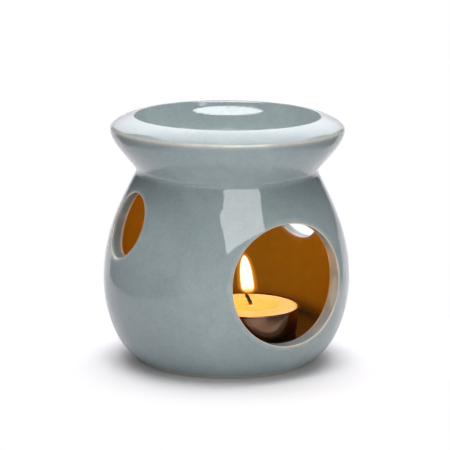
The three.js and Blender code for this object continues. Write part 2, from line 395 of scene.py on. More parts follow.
def facing(face, points, normals):
    """The face's corners in the order that makes it look along its normals."""
    first, second, third = points[face[:3]]
    ahead = np.cross(second - first, third - first)
    return face if ahead @ normals[face].sum(0) >= 0 else face[::-1]


def added(name, data):
    made = bpy.data.objects.new(name, data)
    bpy.context.scene.collection.objects.link(made)
    return made


def piece(name, mesh, body, slot, paint, *nodes):
    made = added(name, mesh)
    mesh.materials.append(paint)
    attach(made, body)
    if nodes:
        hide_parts(*nodes)
    return made


# Detail of a noise
SMOOTH = 1.0
SOFT = 2.0
ROUGH = 3.0
GRAINY = 4.0


class Paint:
    """The node tree of a material or the world, with sockets set or linked by name or number."""

    def __init__(self, owner):
        self.owner = bpy.data.materials.new(owner) if isinstance(owner, str) else owner
        self.owner.use_nodes = True
        self.tree = self.owner.node_tree
        self.tree.nodes.clear()

    def node(self, kind, values=None, **settings):
        made = self.tree.nodes.new("ShaderNode" + kind)
        for key, value in settings.items():
            setattr(made, key, value)
        for key, value in (values or {}).items():
            socket = made.inputs[key]
            if isinstance(value, bpy.types.NodeSocket):
                self.tree.links.new(value, socket)
            else:
                socket.default_value = value
        return made

    def where(self):
        return self.node("TexCoord").outputs["Object"]

    def level(self, where):
        return self.node("SeparateXYZ", {"Vector": where}).outputs["Z"]

    def mark(self, name):
        return self.node("Attribute", attribute_name=name).outputs["Fac"]

    def noise(self, where, scale, detail=SOFT):
        return self.node("TexNoise", {"Vector": where, "Scale": scale, "Detail": detail}).outputs["Fac"]

    def spread(self, value, low, high, new_low=0.0, new_high=1.0, smooth=False):
        values = {
            "Value": value, "From Min": low, "From Max": high, "To Min": new_low, "To Max": new_high,
        }
        kind = "SMOOTHSTEP" if smooth else "LINEAR"
        return self.node("MapRange", values, interpolation_type=kind).outputs["Result"]

    def mix(self, share, first, second):
        return self.node("Mix", {0: share, 6: first, 7: second}, data_type="RGBA").outputs[2]

    def reckon(self, operation, first, second):
        return self.node("Math", {0: first, 1: second}, operation=operation).outputs[0]

    def times(self, first, second):
        return self.reckon("MULTIPLY", first, second)

    def plus(self, first, second):
        return self.reckon("ADD", first, second)

    def minus(self, first, second):
        return self.reckon("SUBTRACT", first, second)

    def vector(self, operation, first, second):
        return self.node("VectorMath", {0: first, 1: second}, operation=operation).outputs["Value"]

    def bump(self, height, distance, strength=1.0):
        values = {"Strength": strength, "Distance": distance, "Height": height}
        return self.node("Bump", values).outputs[0]

    def either(self, share, first, second):
        return self.node("MixShader", {0: share, 1: first.outputs[0], 2: second.outputs[0]})

    def finish(self, shader, kind="OutputMaterial"):
        self.tree.links.new(shader.outputs[0], self.node(kind).inputs["Surface"])
        return self.owner


def rgb(red, green, blue):
    """A colour given as it looks on a screen, from 0 to 255."""
    def linear(value):
        share = value / 255.0
        return share / 12.92 if share <= 0.04045 else ((share + 0.055) / 1.055) ** 2.4
    return (linear(red), linear(green), linear(blue), 1.0)


def grey(level):
    return (level, level, level, 1.0)


# Ranges of a noise that are spread, with what they become where that isn't 0 to 1
MIDDLE = (0.35, 0.65)
BROAD = (0.3, 0.7)

# Glaze, with noise scales for each metre
GLAZE_DEEP = rgb(137, 151, 153)
GLAZE_PALE = rgb(152, 166, 166)
GLAZE_MOTTLED = rgb(133, 147, 150)
GLAZE_FINE = rgb(159, 172, 171)
GLAZE_SPECK = rgb(104, 104, 98)
# Pale of thin glaze at edges, also used for the painted highlight on the openings' inner edges
THIN_GLAZE_AND_PAINTED_HIGHLIGHT = rgb(226, 218, 202)
# Painted warm flame light on the glaze inside the chamber
PAINTED_FLAMELIGHT_DEEP = rgb(184, 144, 33)
PAINTED_FLAMELIGHT_PALE = rgb(192, 151, 39)
PAINTED_SHADE_COLOUR = rgb(52, 48, 40)
# Painted shade on the chamber's floor, its low wall and the vents' cut faces
CLAY_DEEP = rgb(196, 176, 148)
CLAY_PALE = rgb(226, 212, 190)
CLOUD_SCALE = 26.0
MOTTLE_SCALE = 210.0
FINE_SCALE = 1100.0
SPECK_SCALE = 2600.0
RAGGED_SCALE = 260.0
CLAY_SCALE = 900.0
SWELL_SCALE = 62.0
PEEL_SCALE = 620.0
MOTTLE_RANGE = (0.35, 0.7, 0.0, 0.6)
FINE_RANGE = (0.35, 0.65, 0.0, 0.3)
SPECK_RANGE = (0.7, 0.78, 0.0, 0.25)
RAGGED_RANGE = (*BROAD, 0.8, 1.05)
GLOSS_RANGE = (*BROAD, 0.03, 0.06)
SWELL_RANGE = (0.0, 1.0, 0.12, 1.0)
PEEL_SHARE = 0.02
GLAZE_BUMP = 0.0005
GLAZE_IOR = 1.5
CLAY_ROUGHNESS = 0.75


def glaze_paint():
    paint = Paint("celadon_glaze")
    where = paint.where()
    mottle = paint.noise(where, MOTTLE_SCALE, ROUGH)
    fine = paint.noise(where, FINE_SCALE)
    speck = paint.noise(where, SPECK_SCALE, SMOOTH)
    cloud = paint.spread(paint.noise(where, CLOUD_SCALE, ROUGH), *MIDDLE)
    tone = paint.mix(cloud, GLAZE_DEEP, GLAZE_PALE)
    tone = paint.mix(paint.spread(mottle, *MOTTLE_RANGE), tone, GLAZE_MOTTLED)
    tone = paint.mix(paint.spread(fine, *FINE_RANGE), tone, GLAZE_FINE)
    tone = paint.mix(paint.spread(speck, *SPECK_RANGE), tone, GLAZE_SPECK)
    # Inside, the glaze takes a painted tone of the flame's warm light, darkened by painted shade low down
    painted_flamelight_tone = paint.mix(paint.spread(mottle, *BROAD), PAINTED_FLAMELIGHT_DEEP, PAINTED_FLAMELIGHT_PALE)
    painted_flamelight_tone = paint.mix(paint.mark("sooty"), painted_flamelight_tone, PAINTED_SHADE_COLOUR)
    tone = paint.mix(paint.mark("indoors"), tone, painted_flamelight_tone)
    ragged = paint.spread(paint.noise(where, RAGGED_SCALE), *RAGGED_RANGE)
    # Pale where the glaze breaks thin, and a painted highlight on the openings' inner edges
    tone = paint.mix(paint.times(paint.mark("glaze_break"), ragged), tone, THIN_GLAZE_AND_PAINTED_HIGHLIGHT)
    bare = paint.mark("bare_clay")
    clay = paint.mix(paint.noise(where, CLAY_SCALE, GRAINY), CLAY_DEEP, CLAY_PALE)
    tone = paint.mix(bare, tone, clay)
    gloss = paint.spread(mottle, *GLOSS_RANGE)
    rough = paint.node("Mix", {0: bare, 2: gloss, 3: CLAY_ROUGHNESS}, data_type="FLOAT").outputs[0]
    wavy = paint.spread(paint.mark("wavy"), *SWELL_RANGE)
    swell = paint.times(paint.noise(where, SWELL_SCALE, SMOOTH), wavy)
    height = paint.plus(swell, paint.times(paint.noise(where, PEEL_SCALE), PEEL_SHARE))
    shader = paint.node("BsdfPrincipled", {
        "Base Color": tone, "Roughness": rough, "IOR": GLAZE_IOR, "Normal": paint.bump(height, GLAZE_BUMP),
    })
    return paint.finish(shader)


# Aluminium of the cup, tinted brown
CUP_DEEP = rgb(112, 84, 66)
CUP_PALE = rgb(128, 98, 78)
DRAWN_STRETCH = (0.15, 0.15, 3.0)
DRAWN_SCALE = 900.0
SMUDGE_SCALE = 160.0
DENT_SCALE = 130.0
DRAWN_ROUGHNESS = (*BROAD, 0.14, 0.22)
DRAWN_SHARE = 0.02
CUP_BUMP = 0.0001


def aluminium_paint():
    paint = Paint("cup_aluminium")
    where = paint.where()
    drawn = paint.node("Mapping", {"Vector": where, "Scale": DRAWN_STRETCH}).outputs[0]
    streak = paint.noise(drawn, DRAWN_SCALE, GRAINY)
    smudge = paint.noise(where, SMUDGE_SCALE, ROUGH)
    height = paint.plus(paint.noise(where, DENT_SCALE, SMOOTH), paint.times(streak, DRAWN_SHARE))
    shader = paint.node("BsdfPrincipled", {
        "Base Color": paint.mix(paint.spread(smudge, *MIDDLE), CUP_DEEP, CUP_PALE), "Metallic": 1.0,
        "Roughness": paint.spread(streak, *DRAWN_ROUGHNESS), "Normal": paint.bump(height, CUP_BUMP),
    })
    return paint.finish(shader)


# Wax, with a painted glow that stands in for the flame's light on it
WAX_DEEP = rgb(248, 226, 180)
WAX_PALE = rgb(251, 232, 190)
WAX_MELT = rgb(250, 228, 172)
WAX_PAINTED_GLOW = (1.0, 0.68, 0.12, 1.0)
WAX_PAINTED_GLOW_STRENGTH = 0.4
WAX_SCALE = 420.0
WAX_ROUGHNESS = (0.0, 1.0, 0.36, 0.14)
WAX_SUBSURFACE = 0.6
WAX_SUBSURFACE_RADIUS = (1.0, 0.55, 0.3)
WAX_SUBSURFACE_SCALE = 0.003
WAX_IOR = 1.44
WAX_BUMP = 0.00012
WAX_BUMP_STRENGTH = 0.5


def wax_paint():
    paint = Paint("candle_wax")
    melt = paint.mark("melt")
    grain = paint.noise(paint.where(), WAX_SCALE, GRAINY)
    tone = paint.mix(paint.spread(grain, *BROAD), WAX_DEEP, WAX_PALE)
    shader = paint.node("BsdfPrincipled", {
        "Base Color": paint.mix(melt, tone, WAX_MELT), "Roughness": paint.spread(melt, *WAX_ROUGHNESS),
        "Subsurface Weight": WAX_SUBSURFACE, "Subsurface Radius": WAX_SUBSURFACE_RADIUS,
        "Subsurface Scale": WAX_SUBSURFACE_SCALE, "IOR": WAX_IOR,
        "Emission Color": WAX_PAINTED_GLOW, "Emission Strength": WAX_PAINTED_GLOW_STRENGTH,
        "Normal": paint.bump(grain, WAX_BUMP, WAX_BUMP_STRENGTH),
    })
    return paint.finish(shader)


# Wick, charred above a height in metres
WICK_BURNT = rgb(18, 14, 12)
WICK_ASH = rgb(58, 46, 38)
WICK_BARE = rgb(150, 112, 64)
CHAR_HEIGHTS = (0.0232, 0.0246)
FIBRE_SCALE = 2400.0
FIBRE_RANGE = (0.4, 0.7)
WICK_ROUGHNESS = 0.95
WICK_BUMP = 0.0002
WICK_BUMP_STRENGTH = 0.8


def wick_paint():
    paint = Paint("charred_cotton")
    where = paint.where()
    fibre = paint.noise(where, FIBRE_SCALE, GRAINY)
    char = paint.spread(paint.level(where), *CHAR_HEIGHTS, smooth=True)
    burnt = paint.mix(paint.spread(fibre, *FIBRE_RANGE), WICK_BURNT, WICK_ASH)
    shader = paint.node("BsdfPrincipled", {
        "Base Color": paint.mix(char, WICK_BARE, burnt), "Roughness": WICK_ROUGHNESS,
        "Normal": paint.bump(fibre, WICK_BUMP, WICK_BUMP_STRENGTH),
    })
    return paint.finish(shader)


# Tinplate of the sustainer
TIN_DEEP = rgb(150, 150, 148)
TIN_PALE = rgb(190, 190, 187)
SPANGLE_SCALE = 700.0
TIN_ROUGHNESS = (*BROAD, 0.25, 0.45)


def tinplate_paint():
    paint = Paint("tinplate")
    spangle = paint.noise(paint.where(), SPANGLE_SCALE, ROUGH)
    shader = paint.node("BsdfPrincipled", {
        "Base Color": paint.mix(spangle, TIN_DEEP, TIN_PALE), "Metallic": 1.0,
        "Roughness": paint.spread(spangle, *TIN_ROUGHNESS),
    })
    return paint.finish(shader)


# Pot and dish profiles

below_belly = bezier(
    (FOOT_RADIUS, 0.0), (BELLY_RADIUS, FOOT_RISE),
    (BELLY_RADIUS, BELLY_HEIGHT - BELLY_EASE_BELOW), (BELLY_RADIUS, BELLY_HEIGHT),
)
above_belly = bezier(
    (BELLY_RADIUS, BELLY_HEIGHT), (BELLY_RADIUS, BELLY_HEIGHT + BELLY_EASE_ABOVE),
    (NECK_RADIUS + SHOULDER_SPREAD, NECK_HEIGHT - SHOULDER_DROP), (NECK_RADIUS, NECK_HEIGHT),
)
flare = bezier(
    (NECK_RADIUS, NECK_HEIGHT), (NECK_RADIUS + FLARE_SPREAD, NECK_HEIGHT + FLARE_RISE),
    (RIM_RADIUS, RIM_HEIGHT - RIM_EASE_BELOW), (RIM_RADIUS, RIM_HEIGHT),
)


def trimmed(points, cut, at_end):
    """A line without its first or last stretch of a given length."""
    line = Line(points)
    reach = line.reach[-1] - cut if at_end else cut
    edge = np.array(line.at(reach))[None]
    if at_end:
        return np.concatenate([line.points[line.reach < reach - CLOSE], edge])
    return np.concatenate([edge, line.points[line.reach > reach + CLOSE]])


shoulder = trimmed(above_belly, NECK_FILLET, True)
collar = trimmed(flare, NECK_FILLET, False)
neck = corner(shoulder[-1], (NECK_RADIUS, NECK_HEIGHT), collar[0], NECK_STEPS)
neck_line = Line(neck)
neck_middle = np.array(neck_line.at(neck_line.split(NECK_HEIGHT)))
neck_below = np.concatenate([neck[neck[:, 1] < NECK_HEIGHT - CLOSE], neck_middle[None]])
neck_above = np.concatenate([neck_middle[None], neck[neck[:, 1] > NECK_HEIGHT + CLOSE]])
neck_inner = (NECK_RADIUS - WALL_AT_NECK, NECK_HEIGHT)

foot_inner = FOOT_RADIUS - FOOT_RING_WIDTH
foot_edge_start = (FOOT_RADIUS - FOOT_EDGE, 0.0)
wall_foot = trimmed(below_belly, FOOT_EDGE, False)
underside = rounded(
    [(0.0, FOOT_RECESS_DEPTH), (foot_inner - FOOT_RING_TAPER, FOOT_RECESS_DEPTH),
     (foot_inner, 0.0), foot_edge_start],
    [FOOT_RECESS_ROUND, FOOT_RING_ROUND],
)
foot_edge = corner(foot_edge_start, (FOOT_RADIUS, 0.0), wall_foot[0])
outside = Line(np.concatenate([
    underside, foot_edge, wall_foot, above_belly[:1], shoulder[1:], neck_below,
]))


def chamber_points():
    """The chamber's wall from the floor's fillet up, square inwards from the outer line."""
    line = Line(np.concatenate([below_belly, above_belly[1:]]))
    share = ramp(line.points[:, 1], BELLY_HEIGHT, NECK_HEIGHT)
    wall = WALL_AT_BELLY + share * (WALL_AT_NECK - WALL_AT_BELLY)
    inward = np.stack([-line.along[:, 1], line.along[:, 0]], -1)
    points = line.points + inward * wall[:, None]
    return points[points[:, 1] > FLOOR_HEIGHT + FLOOR_FILLET]


chamber = chamber_points()
floor_radius = chamber[0, 0]
floor_fillet = corner(
    chamber[0], (floor_radius - FLOOR_FILLET_LEAN, FLOOR_HEIGHT),
    (floor_radius - FLOOR_FILLET, FLOOR_HEIGHT),
)
inside = Line(np.concatenate([[neck_inner], chamber[::-1], floor_fillet, [(0.0, FLOOR_HEIGHT)]]))


class Wall:
    """One face of the pot's wall, rolled out flat so that the openings can be cut in it."""

    def __init__(self, line, first, last, radius):
        self.line = line
        self.first = first
        self.last = last
        self.radius = radius
        kept = (line.reach > first - WALL_MARGIN_BEFORE) & (line.reach < last + ROW_GAP)
        order = np.argsort(line.points[kept, 1])
        self.heights = line.points[kept, 1][order]
        self.at_height = line.reach[kept][order]
        self.radii = line.points[kept, 0][order]

    def reach_at(self, height):
        return np.interp(height, self.heights, self.at_height)

    def radius_at(self, height):
        return np.interp(height, self.heights, self.radii)

    def rolled(self, points):
        """Where points lie on the flat roll: turn times radius, and reach along the line."""
        turn = np.arctan2(points[:, 0], -points[:, 1])
        return np.stack([turn * self.radius, self.reach_at(points[:, 2])], -1)

    def unrolled(self, flat):
        """The points and normals of the wall at places on the flat roll."""
        return ring_points(self.line, flat[:, 1], flat[:, 0] / self.radius)


class Opening:
    """A round hole through the wall, with a rounded edge outside and inside."""

    def __init__(self, half_width, half_height, height, turn, count, burr, painted_cut_face_shade):
        turn = math.radians(turn)
        self.aside = np.array([math.cos(turn), math.sin(turn), 0.0])
        self.ahead = np.array([math.sin(turn), -math.cos(turn), 0.0])
        self.height = height
        self.painted_cut_face_shade = painted_cut_face_shade
        angle = np.linspace(0.0, FULL_TURN, count + 1)
        phases = random.uniform(0.0, FULL_TURN, WOBBLE_WAVES)
        waves = enumerate(phases, start=1)
        wobble = sum(WOBBLE * np.sin((number + 1) * angle + phase) / number for number, phase in waves)
        normal = np.stack([np.cos(angle) / half_width, np.sin(angle) / half_height], -1)
        self.normal = normal / np.linalg.norm(normal, axis=1)[:, None]
        self.section = np.stack([half_width * np.cos(angle), half_height * np.sin(angle)], -1)
        self.section += self.normal * wobble[:, None]
        rough = random.normal(0.0, 1.0, count)
        overlap = BURR_RUN // 2
        rough = np.concatenate([rough[-overlap:], rough, rough[:overlap]])
        rough = np.convolve(rough, np.ones(BURR_RUN) / BURR_RUN, "valid")
        self.burr = burr * np.concatenate([rough, rough[:1]])

    def on(self, wall, grow):
        """Points of the hole's line on one face of the wall, made larger by grow."""
        across = self.section + self.normal * np.reshape(grow, (-1, 1))
        height = self.height + across[:, 1]
        depth = np.sqrt(wall.radius_at(height) ** 2 - across[:, 0] ** 2)
        flat = across[:, :1] * self.aside + depth[:, None] * self.ahead
        return flat + height[:, None] * np.array(UP)

    def skin_out(self, wall):
        """Where the rounded edge meets the outer face."""
        return self.on(wall, EDGE_OUT * EDGE_FACE_SHARE)

    def skin_in(self, wall):
        """Where the rounded edge meets the inner face, with the burr of the cut."""
        return self.on(wall, EDGE_IN * EDGE_FACE_SHARE + self.burr)


def inside_loop(points, loop):
    x, y = points[:, 0][:, None], points[:, 1][:, None]
    x_start, y_start = loop[:-1, 0][None], loop[:-1, 1][None]
    x_end, y_end = loop[1:, 0][None], loop[1:, 1][None]
    crosses = (y_start > y) != (y_end > y)
    rise = np.where(crosses, y_end - y_start, 1.0)
    before = x < x_start + (y - y_start) * (x_end - x_start) / rise
    return (np.sum(crosses & before, axis=1) % 2) == 1


def near_loop(points, loop):
    return np.min(np.linalg.norm(points[:, None] - loop[None, :-1], axis=2), axis=1)


def cut_wall(shell, wall, loops, spacing, **marks):
    """One face of the wall with its openings left out, joined to their rims point by point."""
    rows = int(round((wall.last - wall.first) / spacing))
    reach = np.linspace(wall.first, wall.last, rows + 1)
    across, along = np.meshgrid(around(POT_COLUMNS) * wall.radius, reach)
    points = np.stack([across.ravel(), along.ravel()], -1)
    gap = np.full(len(points), np.inf)
    keep = np.ones(len(points), bool)
    for loop in loops:
        low = loop.min(0) - LOOP_MARGIN
        high = loop.max(0) + LOOP_MARGIN
        near = np.all((points > low) & (points < high), axis=1)
        gap[near] = np.minimum(gap[near], near_loop(points[near], loop))
        keep[near] &= ~inside_loop(points[near], loop)
    keep &= gap > LOOP_CLEARANCE * spacing
    flat = [points[keep]]
    edges = []
    count = len(flat[0])
    for loop in loops:
        size = len(loop) - 1
        flat.append(loop[:-1])
        edges += [(count + step, count + (step + 1) % size) for step in range(size)]
        count += size
    flat = np.concatenate(flat)
    corners = [Vector(point) for point in flat]
    found, _, faces, *_ = delaunay_2d_cdt(corners, edges, [], 0, CUT_PRECISION)
    found = np.array([tuple(point) for point in found])
    faces = np.array([list(face) for face in faces if len(face) == 3])
    middle = found[faces].mean(1)
    hidden = np.any([inside_loop(middle, loop) for loop in loops], axis=0)
    if len(found) == len(flat):
        found = flat
    nearest = np.min([near_loop(found, loop) for loop in loops], axis=0)
    break_and_highlight = FACE_BREAK * hump(nearest, 0.0, FACE_BREAK_WIDTH)
    points, normals = wall.unrolled(found)
    marks = {name: mark(points[:, 2]) if callable(mark) else mark for name, mark in marks.items()}
    shell.add(points, normals, faces[~hidden].tolist(), glaze_break=break_and_highlight, **marks)


def rim_strip(shell, opening, outer, inner):
    """The rounded edges and the cut face between the outer and the inner side of one opening."""
    edge_out = opening.on(outer, 0.0)
    edge_in = opening.on(inner, 0.0)
    skin_out = opening.skin_out(outer)
    skin_in = opening.skin_in(inner)
    deep_out = edge_out - opening.ahead * EDGE_OUT
    deep_in = edge_in + opening.ahead * EDGE_IN
    share = np.linspace(0.0, 1.0, FACE_STEPS + 1)[1:-1, None, None]
    points = np.concatenate([
        corner(skin_out, edge_out, deep_out, EDGE_STEPS),
        deep_out * (1 - share) + deep_in * share,
        corner(deep_in, edge_in, skin_in, EDGE_STEPS),
    ])
    ring = np.concatenate([points[:, -2:-1], points, points[:, 1:2]], axis=1)
    round_way = ring[:, 2:] - ring[:, :-2]
    through = np.gradient(points, axis=0)
    normals = np.cross(round_way, through)
    normals /= np.maximum(np.linalg.norm(normals, axis=2), TINY)[..., None]
    _, true_out = outer.unrolled(outer.rolled(skin_out))
    _, true_in = inner.unrolled(inner.rolled(skin_in))
    if np.sum(normals[1] * true_out) < 0:
        normals = -normals
    normals[0] = true_out
    normals[-1] = true_in
    rows = len(points)
    break_and_highlight = np.zeros(rows)
    break_and_highlight[:len(OUTER_EDGE_BREAK)] = OUTER_EDGE_BREAK
    # The inner rows carry a painted highlight
    break_and_highlight[-len(INNER_EDGE_PAINTED_HIGHLIGHT):] = INNER_EDGE_PAINTED_HIGHLIGHT
    # Painted shade darkens the cut face along these rows
    painted_shade_rows = np.zeros(rows)
    painted_shade_rows[PAINTED_SHADE_ROW_SPAN] = opening.painted_cut_face_shade
    indoors = np.maximum(ramp(np.arange(rows), PAINTED_FLAMELIGHT_ROW, rows - 1), painted_shade_rows)
    sooty = np.where(painted_shade_rows > 0.0, 1.0, 0.0)
    shell.grid(
        points, normals, glaze_break=break_and_highlight[:, None], indoors=indoors[:, None], sooty=sooty[:, None]
    )


def painted_shade_at(height):
    """Painted shade: the chamber's wall is darkest near the floor."""
    return ramp(height, *PAINTED_SHADE_HEIGHTS)


def make_pot(paint):
    shell = Shell()
    foot_end = Line(underside).reach[-1]
    wall_start = outside.reach[(outside.reach > foot_end) & (outside.points[:, 1] > WALL_FROM)][0]
    outer = Wall(outside, wall_start, outside.reach[-1], BELLY_RADIUS)
    floor_start = inside.split(FLOOR_HEIGHT + WALL_ABOVE_FLOOR)
    inner = Wall(inside, 0.0, floor_start, BELLY_RADIUS - WALL_AT_BELLY)
    openings = [Opening(*values) for values in OPENINGS.values()]
    loops_out = [outer.rolled(opening.skin_out(outer)) for opening in openings]
    loops_in = [inner.rolled(opening.skin_in(inner)) for opening in openings]
    cut_wall(shell, outer, loops_out, OUTER_SPACING, wavy=1.0)
    cut_wall(shell, inner, loops_in, INNER_SPACING, wavy=1.0, indoors=1.0, sooty=painted_shade_at)
    for opening in openings:
        rim_strip(shell, opening, outer, inner)
    below = outside.reaches(*FOOT_FINENESS)
    below = np.append(below[below < wall_start - ROW_GAP], wall_start)
    level = outside.at(below)[1]
    under = below < foot_end
    bare = np.where(under, 1.0, ramp(level, *FOOT_BARE))
    break_and_highlight = np.where(under, 0.0, FOOT_BREAK * hump(level, FOOT_BREAK_HEIGHT, FOOT_BREAK_WIDTH))
    shell.turned(outside, below, POT_COLUMNS, bare_clay=bare, glaze_break=break_and_highlight, wavy=1.0)
    seat = Line([neck_middle, neck_inner])
    shell.turned(seat, seat.reach, POT_COLUMNS, bare_clay=[0.0, 1.0])
    floor = inside.reaches(*FLOOR_FINENESS)
    floor = np.append(floor_start, floor[floor > floor_start + ROW_GAP])
    # The chamber's floor is painted shade all over
    shell.turned(inside, floor, POT_COLUMNS, indoors=1.0, sooty=1.0)
    shell.build("pot_body", "warmer", "glaze", paint, "pot")


def lip_point(radius):
    return radius, BOWL_EDGE_HEIGHT - (radius - BOWL_EDGE_RADIUS) * LIP_FALL


def make_dish(paint):
    shell = Shell()
    seat_inner = (DISH_SEAT_RADIUS, NECK_HEIGHT)
    under = Line(rounded(
        [(0.0, DISH_CEILING), (DISH_SEAT_RADIUS, DISH_CEILING), seat_inner], [DISH_SEAT_ROUND]
    ))
    # The dish's underside is the chamber's ceiling, painted with the flame's warm light
    shell.turned(under, under.reaches(*UNDER_DISH_FINENESS), DISH_COLUMNS, indoors=1.0)
    seat = Line([seat_inner, neck_middle])
    shell.turned(seat, seat.reach, DISH_COLUMNS, bare_clay=[1.0, 0.0])
    over_rim = bezier(
        (RIM_RADIUS, RIM_HEIGHT), (RIM_RADIUS, RIM_HEIGHT + RIM_EASE_ABOVE),
        lip_point(BOWL_EDGE_RADIUS + LIP_EASE), lip_point(BOWL_EDGE_RADIUS + BOWL_EDGE_ROUND), LIP_STEPS,
    )
    wall_run = np.array([BOWL_WALL_RUN, BOWL_WALL_DROP])
    edge = np.array([BOWL_EDGE_RADIUS, BOWL_EDGE_HEIGHT])
    wall_top = edge - wall_run * BOWL_EDGE_ROUND / np.linalg.norm(wall_run)
    bowl_edge = corner(over_rim[-1], edge, wall_top)
    bowl = bezier(
        wall_top, edge - wall_run,
        (BOWL_FLOOR_RADIUS + BOWL_FLOOR_EASE, BOWL_FLOOR_HEIGHT), (BOWL_FLOOR_RADIUS, BOWL_FLOOR_HEIGHT),
    )
    line = Line(np.concatenate([
        neck_above, collar[1:], over_rim[1:], bowl_edge[1:], bowl[1:], [(0.0, BOWL_FLOOR_HEIGHT)],
    ]))
    reaches = line.reaches(*DISH_FINENESS)
    break_at = line.split(RIM_HEIGHT) + RIM_BREAK_PAST
    break_and_highlight = RIM_BREAK * hump(reaches, break_at, RIM_BREAK_WIDTH)
    shell.turned(line, reaches, DISH_COLUMNS, glaze_break=break_and_highlight)
    shell.build("dish_body", "warmer", "glaze", paint, "wax_dish")


def make_cup(paint):
    top = CUP_HEIGHT - CUP_BEAD
    wall_radius = CUP_RIM_RADIUS - CUP_BEAD
    outer = rounded([(0.0, 0.0), (CUP_BASE_RADIUS, 0.0), (wall_radius, top)], [CUP_CORNER])
    bead_radius = CUP_BEAD / 2
    bead_middle = np.array([wall_radius + CUP_BEAD_ASIDE, top + bead_radius])
    angle = np.radians(np.linspace(*CUP_BEAD_ARC, CUP_BEAD_STEPS))
    bead = bead_middle + bead_radius * np.stack([np.cos(angle), np.sin(angle)], -1)
    inner = rounded(
        [(wall_radius - CUP_SKIN, top), (CUP_BASE_RADIUS - CUP_SKIN, CUP_SKIN), (0.0, CUP_SKIN)],
        [CUP_CORNER - CUP_SKIN],
    )
    line = Line(np.concatenate([outer, bead, inner]))
    shell = Shell()
    shell.turned(line, line.reaches(*CUP_FINENESS), CUP_COLUMNS)
    points = shell.points[0]
    turn = np.arctan2(points[:, 1], points[:, 0])
    height = points[:, 2]
    level = ramp(height, *CUP_DENTS_FROM) * ramp(height, CUP_HEIGHT, CUP_HEIGHT - CUP_DENTS_FADE)
    size, rate, start = CUP_SMALL_DENTS
    dent = wave(turn, *CUP_BROAD_DENTS) + wave(turn, size, rate, start + CUP_DENTS_SLANT * height)
    radius = np.hypot(points[:, 0], points[:, 1])
    points[:, :2] *= (1 + dent * level / np.maximum(radius, 1.0))[:, None]
    shell.shift(TEALIGHT_PLACE)
    shell.build("tealight_cup_body", "tealight", "cup_aluminium", paint, "tealight_cup")


def make_wax(paint):
    rings = np.concatenate([
        np.linspace(0.0, WAX_INNER_RADIUS, WAX_INNER_RINGS),
        np.linspace(WAX_OUTER_START, WAX_RADIUS, WAX_OUTER_RINGS),
    ])[:, None]
    turn = around(CUP_COLUMNS)[None]
    points = place(turn + 0 * rings, rings, 0 * rings)
    x, y = points[..., 0], points[..., 1]
    away = np.hypot(x - WICK_PLACE[0], y - WICK_PLACE[1])
    edge = away - POOL_RADIUS + sum(wave(turn, *values) for values in POOL_EDGE_WAVES)
    melt = step_down(edge, POOL_EDGE_WIDTH)
    height = WAX_TOP - POOL_DEPTH * step_down(edge + POOL_BANK_SHIFT, POOL_BANK_WIDTH)
    height += WAX_CREEP * hump(rings, WAX_CREEP_RADIUS, WAX_CREEP_WIDTH)
    height += WICK_MOUND * hump(away, 0.0, WICK_MOUND_WIDTH)
    height += wave(x, *WAX_UNEVEN_ACROSS) * wave(y, *WAX_UNEVEN_ALONG) * (1 - melt)
    points[..., 2] = height
    normals = np.cross(np.gradient(points, axis=1), np.gradient(points, axis=0))
    normals[normals[..., 2] < 0] *= -1
    normals[0] = UP
    shell = Shell()
    shell.grid(points, normals, melt=melt)
    side = Line(rounded(
        [(WAX_RADIUS, WAX_SIDE_TOP), (WAX_BASE_RADIUS, WAX_BASE), (0.0, WAX_BASE)], [WAX_CORNER]
    ))
    reaches = side.reaches(*WAX_FINENESS)[:, None]
    lower, out = ring_points(side, reaches, turn + 0 * reaches)
    lower[0] = points[-1]
    shell.grid(lower, -out)
    shell.shift(TEALIGHT_PLACE)
    shell.build("tealight_wax_body", "tealight", "wax", paint, "tealight_wax")


def wick_route(share):
    """Middle of the wick from inside the wax up, leaning over to one side."""
    pool = WAX_TOP - POOL_DEPTH
    height = pool - WICK_DEPTH + (WICK_DEPTH + WICK_RISE) * share
    bend = ramp(height, pool, pool + WICK_RISE)
    reach = WICK_LEAN * (WICK_STRAIGHT_SHARE * bend + (1 - WICK_STRAIGHT_SHARE) * bend**2)
    x = WICK_PLACE[0] + reach * math.cos(WICK_LEAN_TURN)
    y = WICK_PLACE[1] + reach * math.sin(WICK_LEAN_TURN)
    return np.stack([x, y, height], -1)


def unit(vectors):
    return vectors / np.linalg.norm(vectors, axis=1)[:, None]


